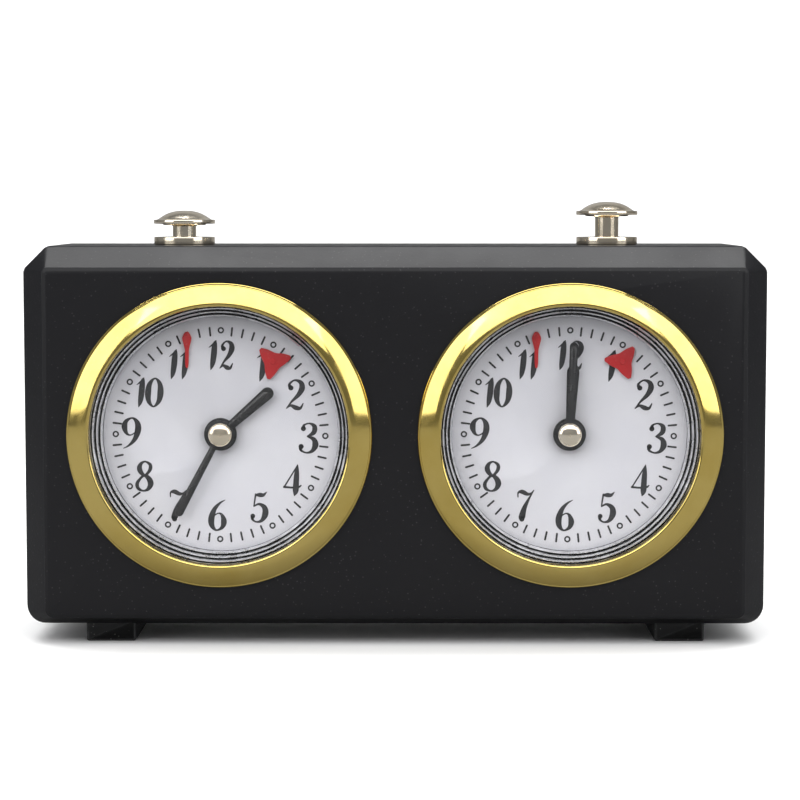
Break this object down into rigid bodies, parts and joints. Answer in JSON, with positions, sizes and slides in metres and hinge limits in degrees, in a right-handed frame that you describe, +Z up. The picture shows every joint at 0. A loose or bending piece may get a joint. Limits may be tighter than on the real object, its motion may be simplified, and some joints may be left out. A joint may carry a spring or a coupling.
{
  "type": "wind-up chess clock",
  "caption": "Wind-up chess clock: black bevelled case with a gold-rimmed dial for each player and a push button above each, linked by a rocker.",
  "frame": {"origin": "centre of the bounding box's bottom face, on the surface that the feet stand on", "axes": "+Z up, +X to the right of a player who reads the dials, which face -Y"},
  "size_m": [0.156, 0.053, 0.0931],
  "materials": {
    "case": "near-black moulded plastic, semi-gloss",
    "bezel": "polished gold plate",
    "button": "polished pale gold plate",
    "crystal": "clear moulded acrylic",
    "dial_ring": "satin silver, stepped",
    "dial": "matt white dial paint",
    "hand": "gloss black enamel",
    "red": "satin signal red",
    "foot": "matt black rubber",
    "brass": "stamped brass",
    "steel": "turned steel",
    "screw": "zinc-plated steel"
  },
  "bodies": {
    "case": {"front_case": "case", "rear_case": "case", "rocker_pin": "steel", "lower_left_screw": "screw", "lower_right_screw": "screw", "upper_left_screw": "screw", "upper_right_screw": "screw", "left_foot": "foot", "left_button_collar": "button", "left_bezel": "bezel", "left_crystal": "crystal", "left_reflector_ring": "dial_ring", "left_dial": "dial", "left_front_plate": "brass", "left_back_plate": "brass", "right_foot": "foot", "right_button_collar": "button", "right_bezel": "bezel", "right_crystal": "crystal", "right_reflector_ring": "dial_ring", "right_dial": "dial", "right_front_plate": "brass", "right_back_plate": "brass"},
    "rocker": {"rocker": "steel"},
    "left_button": {"left_button": "button"},
    "right_button": {"right_button": "button"},
    "left_centre_wheel": {"left_centre_wheel": "brass"},
    "left_minute_train": {"left_setting_arbor": "steel", "left_minute_hand": "hand", "left_hand_cap": "button"},
    "left_hour_train": {"left_hour_wheel": "brass", "left_hour_hand": "hand"},
    "left_motion_wheel": {"left_motion_wheel": "brass"},
    "left_third_wheel": {"left_third_wheel": "brass"},
    "left_escape_wheel": {"left_escape_wheel": "steel", "left_tick_rotor": "red"},
    "left_barrel": {"left_great_wheel": "brass", "left_mainspring": "steel"},
    "left_winding_key": {"left_winding_key": "steel"},
    "left_flag": {"left_flag": "red"},
    "left_pallet_lever": {"left_pallet_lever": "steel"},
    "left_balance": {"left_balance_wheel": "brass", "left_hairspring": "steel"},
    "right_centre_wheel": {"right_centre_wheel": "brass"},
    "right_minute_train": {"right_setting_arbor": "steel", "right_minute_hand": "hand", "right_hand_cap": "button"},
    "right_hour_train": {"right_hour_wheel": "brass", "right_hour_hand": "hand"},
    "right_motion_wheel": {"right_motion_wheel": "brass"},
    "right_third_wheel": {"right_third_wheel": "brass"},
    "right_escape_wheel": {"right_escape_wheel": "steel", "right_tick_rotor": "red"},
    "right_barrel": {"right_great_wheel": "brass", "right_mainspring": "steel"},
    "right_winding_key": {"right_winding_key": "steel"},
    "right_flag": {"right_flag": "red"},
    "right_pallet_lever": {"right_pallet_lever": "steel"},
    "right_balance": {"right_balance_wheel": "brass", "right_hairspring": "steel"}
  },
  "joints": [
    {"name": "rocker_pivot", "type": "hinge", "parent": "case", "child": "rocker", "pos_m": [0, -0.0014, 0.077], "axis": [0, 1, 0], "range_deg": [0, 2.39]},
    {"name": "left_button_slide", "type": "slide", "parent": "case", "child": "left_button", "axis": [0, 0, 1], "range_m": [0, 0.00191]},
    {"name": "right_button_slide", "type": "slide", "parent": "case", "child": "right_button", "axis": [0, 0, 1], "range_m": [-0.00191, 0]},
    {"name": "left_barrel_turn", "type": "hinge", "parent": "case", "child": "left_barrel", "pos_m": [-0.04627, -0.0039, 0.02893], "axis": [0, 1, 0], "continuous": true},
    {"name": "left_centre_wheel_turn", "type": "hinge", "parent": "case", "child": "left_centre_wheel", "pos_m": [-0.0366, -0.0039, 0.0444], "axis": [0, 1, 0], "continuous": true},
    {"name": "left_minute_hand_turn", "type": "hinge", "parent": "case", "child": "left_minute_train", "pos_m": [-0.0366, -0.0039, 0.0444], "axis": [0, 1, 0], "continuous": true},
    {"name": "left_motion_wheel_turn", "type": "hinge", "parent": "case", "child": "left_motion_wheel", "pos_m": [-0.04502, -0.0039, 0.04133], "axis": [0, 1, 0], "continuous": true},
    {"name": "left_hour_hand_turn", "type": "hinge", "parent": "case", "child": "left_hour_train", "pos_m": [-0.0366, -0.0039, 0.0444], "axis": [0, 1, 0], "continuous": true},
    {"name": "left_third_wheel_turn", "type": "hinge", "parent": "case", "child": "left_third_wheel", "pos_m": [-0.02371, -0.0039, 0.04821], "axis": [0, 1, 0], "continuous": true},
    {"name": "left_escape_wheel_turn", "type": "hinge", "parent": "case", "child": "left_escape_wheel", "pos_m": [-0.02555, -0.0039, 0.05961], "axis": [0, 1, 0], "continuous": true},
    {"name": "left_winding_key_turn", "type": "hinge", "parent": "case", "child": "left_winding_key", "pos_m": [-0.04627, -0.0039, 0.02893], "axis": [0, 1, 0], "continuous": true},
    {"name": "left_flag_lift", "type": "hinge", "parent": "case", "child": "left_flag", "pos_m": [-0.04358, -0.0197, 0.06526], "axis": [0, 1, 0], "range_deg": [-80, 0]},
    {"name": "left_pallet_rock", "type": "hinge", "parent": "case", "child": "left_pallet_lever", "pos_m": [-0.03316, -0.0039, 0.06079], "axis": [0, 1, 0], "range_deg": [-3, 3]},
    {"name": "left_balance_swing", "type": "hinge", "parent": "case", "child": "left_balance", "pos_m": [-0.0436, -0.0039, 0.0624], "axis": [0, 1, 0], "range_deg": [-120, 120]},
    {"name": "right_barrel_turn", "type": "hinge", "parent": "case", "child": "right_barrel", "pos_m": [0.02693, -0.0039, 0.02893], "axis": [0, 1, 0], "continuous": true},
    {"name": "right_centre_wheel_turn", "type": "hinge", "parent": "case", "child": "right_centre_wheel", "pos_m": [0.0366, -0.0039, 0.0444], "axis": [0, 1, 0], "continuous": true},
    {"name": "right_minute_hand_turn", "type": "hinge", "parent": "case", "child": "right_minute_train", "pos_m": [0.0366, -0.0039, 0.0444], "axis": [0, 1, 0], "continuous": true},
    {"name": "right_motion_wheel_turn", "type": "hinge", "parent": "case", "child": "right_motion_wheel", "pos_m": [0.02818, -0.0039, 0.04133], "axis": [0, 1, 0], "continuous": true},
    {"name": "right_hour_hand_turn", "type": "hinge", "parent": "case", "child": "right_hour_train", "pos_m": [0.0366, -0.0039, 0.0444], "axis": [0, 1, 0], "continuous": true},
    {"name": "right_third_wheel_turn", "type": "hinge", "parent": "case", "child": "right_third_wheel", "pos_m": [0.04949, -0.0039, 0.04821], "axis": [0, 1, 0], "continuous": true},
    {"name": "right_escape_wheel_turn", "type": "hinge", "parent": "case", "child": "right_escape_wheel", "pos_m": [0.04765, -0.0039, 0.05961], "axis": [0, 1, 0], "continuous": true},
    {"name": "right_winding_key_turn", "type": "hinge", "parent": "case", "child": "right_winding_key", "pos_m": [0.02693, -0.0039, 0.02893], "axis": [0, 1, 0], "continuous": true},
    {"name": "right_flag_lift", "type": "hinge", "parent": "case", "child": "right_flag", "pos_m": [0.02962, -0.0197, 0.06526], "axis": [0, 1, 0], "range_deg": [-80, 0]},
    {"name": "right_pallet_rock", "type": "hinge", "parent": "case", "child": "right_pallet_lever", "pos_m": [0.04004, -0.0039, 0.06079], "axis": [0, 1, 0], "range_deg": [-3, 3]},
    {"name": "right_balance_swing", "type": "hinge", "parent": "case", "child": "right_balance", "pos_m": [0.0296, -0.0039, 0.0624], "axis": [0, 1, 0], "range_deg": [-120, 120]}
  ],
  "couplings": [
    {"joint": "left_button_slide", "follows": "rocker_pivot", "m_per_rad": 0.045606},
    {"joint": "right_button_slide", "follows": "rocker_pivot", "m_per_rad": -0.045606},
    {"joint": "left_minute_hand_turn", "follows": "left_centre_wheel_turn", "ratio": 1},
    {"joint": "left_motion_wheel_turn", "follows": "left_centre_wheel_turn", "ratio": -0.33333},
    {"joint": "left_hour_hand_turn", "follows": "left_centre_wheel_turn", "ratio": 0.083333},
    {"joint": "left_third_wheel_turn", "follows": "left_centre_wheel_turn", "ratio": -7},
    {"joint": "left_escape_wheel_turn", "follows": "left_centre_wheel_turn", "ratio": 42},
    {"joint": "left_barrel_turn", "follows": "left_centre_wheel_turn", "ratio": -0.2},
    {"joint": "right_minute_hand_turn", "follows": "right_centre_wheel_turn", "ratio": 1},
    {"joint": "right_motion_wheel_turn", "follows": "right_centre_wheel_turn", "ratio": -0.33333},
    {"joint": "right_hour_hand_turn", "follows": "right_centre_wheel_turn", "ratio": 0.083333},
    {"joint": "right_third_wheel_turn", "follows": "right_centre_wheel_turn", "ratio": -7},
    {"joint": "right_escape_wheel_turn", "follows": "right_centre_wheel_turn", "ratio": 42},
    {"joint": "right_barrel_turn", "follows": "right_centre_wheel_turn", "ratio": -0.2}
  ]
}
